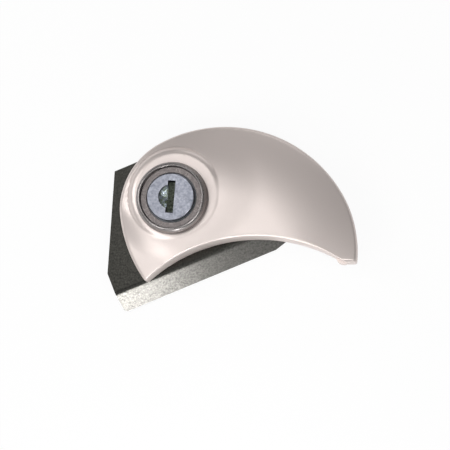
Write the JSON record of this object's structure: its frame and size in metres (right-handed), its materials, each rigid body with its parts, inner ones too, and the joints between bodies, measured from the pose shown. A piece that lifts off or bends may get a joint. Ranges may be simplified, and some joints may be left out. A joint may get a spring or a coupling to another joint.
{
  "type": "flap lock",
  "caption": "Crescent cover that swings about a keyed cylinder lock on a bent steel bracket; a key-driven bolt holds the cover shut or open.",
  "frame": {"origin": "on the lock axis, at the back face of the bracket sheet", "axes": "+Z out of the face of the lock, +X toward the nose of the wing with the cover shut, +Y up the face"},
  "size_m": [0.0909, 0.0653, 0.0256],
  "materials": {
    "bracket": "satin zinc plate",
    "hub": "satin casting",
    "fasteners": "satin",
    "cover_paint": "satin metallic lacquer, pale champagne",
    "housing": "satin casting",
    "bezel": "satin nickel",
    "brass": "satin",
    "washer": "matte",
    "ball": "polished",
    "springs": "drawn wire",
    "bolt": "ground",
    "plug": "satin casting",
    "cap": "bright stainless steel",
    "clip": "black oxide",
    "shutter": "satin"
  },
  "bodies": {
    "base": {"mounting_bracket": "bracket", "pivot_hub": "hub", "hub_rivets": "fasteners", "retaining_ring": "hub", "ring_screws": "fasteners", "stop_pin": "fasteners"},
    "cover": {"cover_shell": "cover_paint", "lock_housing": "housing", "bezel_ring": "bezel", "cylinder_nut": "brass", "thrust_washer": "washer", "tail_plate": "housing", "plate_screws": "fasteners", "detent_spring": "springs"},
    "ball": {"detent_ball": "ball"},
    "bolt": {"locking_bolt": "bolt"},
    "plug": {"plug": "plug", "plug_cap": "cap", "plug_clip": "clip", "drive_cam": "bolt", "cam_screw": "fasteners", "wafer_springs": "springs", "shutter_pin": "fasteners"},
    "wafers_up": {"wafers_upper": "brass"},
    "wafers_down": {"wafers_lower": "brass"},
    "shutter": {"key_shutter": "shutter", "shutter_spring": "springs"}
  },
  "joints": [
    {"name": "cover_swing", "type": "hinge", "parent": "base", "child": "cover", "pos_m": [0, 0, 0], "axis": [0, 0, 1], "range_deg": [0, 155]},
    {"name": "plug_turn", "type": "hinge", "parent": "cover", "child": "plug", "pos_m": [0, 0, 0], "axis": [0, 0, -1], "range_deg": [0, 90]},
    {"name": "bolt_slide", "type": "slide", "parent": "cover", "child": "bolt", "axis": [-1, 0, 0], "range_m": [0, 0.00283]},
    {"name": "detent_drop", "type": "slide", "parent": "cover", "child": "ball", "axis": [0, 0, 1], "range_m": [-0.0005, 0], "stiffness_N_per_m": 400, "springref_m": -0.0015, "deforming": ["detent_spring"]},
    {"name": "wafers_up_slide", "type": "slide", "parent": "plug", "child": "wafers_up", "axis": [0.0872, 0.9962, 0], "range_m": [0, 0.0006], "stiffness_N_per_m": 200, "springref_m": 0.0012},
    {"name": "wafers_down_slide", "type": "slide", "parent": "plug", "child": "wafers_down", "axis": [-0.0872, -0.9962, 0], "range_m": [0, 0.0006], "stiffness_N_per_m": 200, "springref_m": 0.0012},
    {"name": "shutter_fold", "type": "hinge", "parent": "plug", "child": "shutter", "pos_m": [0.00169, -0.00015, 0.01735], "axis": [-0.0872, -0.9962, 0], "range_deg": [0, 88], "stiffness_Nm_per_rad": 0.0004, "springref_deg": -28.65}
  ],
  "couplings": [
    {"joint": "plug_turn", "follows": "bolt_slide", "rad_per_m": 555.36}
  ]
}
